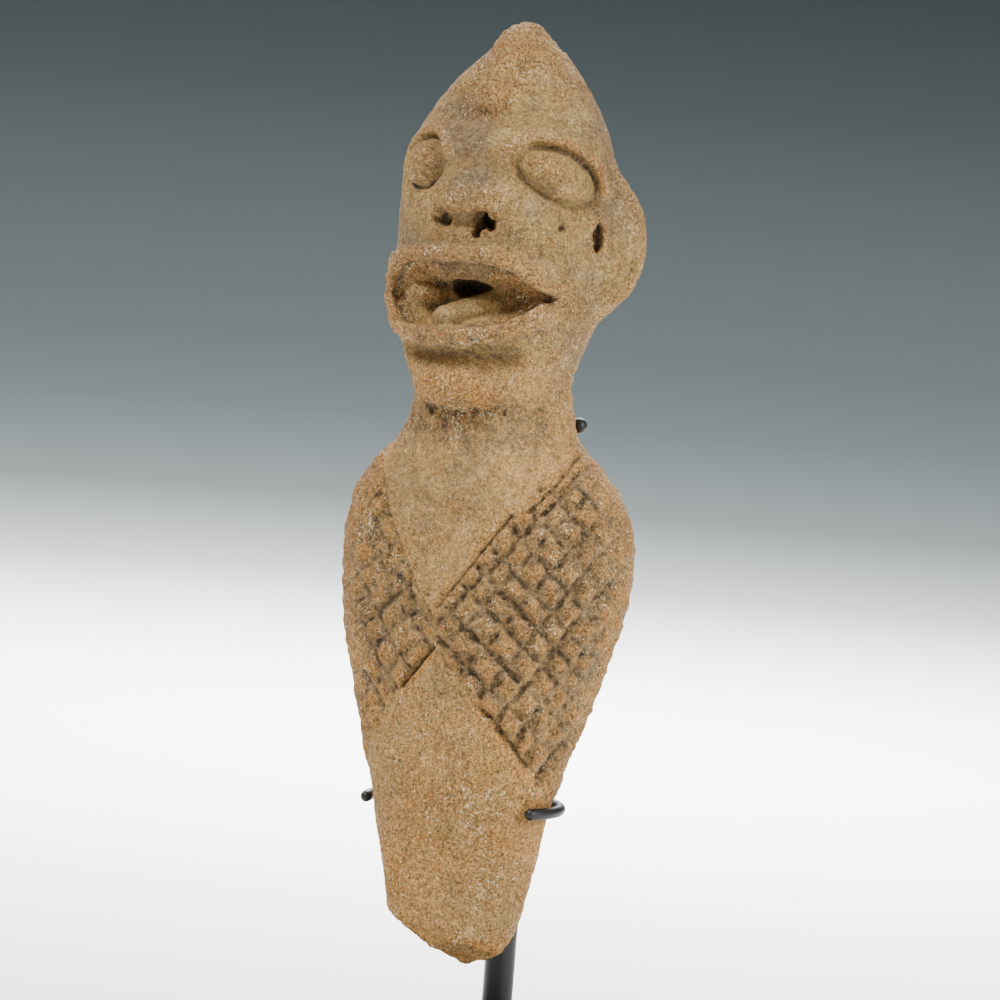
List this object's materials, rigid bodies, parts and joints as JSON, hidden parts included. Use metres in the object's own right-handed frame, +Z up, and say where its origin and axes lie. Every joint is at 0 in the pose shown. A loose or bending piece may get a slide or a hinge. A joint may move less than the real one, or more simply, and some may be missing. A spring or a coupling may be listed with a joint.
{
  "type": "terracotta funerary figure on a display stand",
  "caption": "Terracotta figure with pellet eyes, open mouth and hatched garment, broken off below, held by wire clips on a rod stand.",
  "frame": {"origin": "middle of the base's underside", "axes": "+Z up along the figure, -Y the way the face looks, +X the figure's left side"},
  "size_m": [0.104, 0.092, 0.284],
  "materials": {
    "terracotta": "unglazed gritty fired clay, worn, with dirt in its grooves",
    "stand_steel": "matt black paint",
    "clip_wire": "satin black paint"
  },
  "bodies": {
    "root": {"figure": "terracotta", "base": "stand_steel", "post": "stand_steel", "spine": "stand_steel", "hip_clip": "clip_wire", "neck_clip": "clip_wire"}
  },
  "joints": []
}
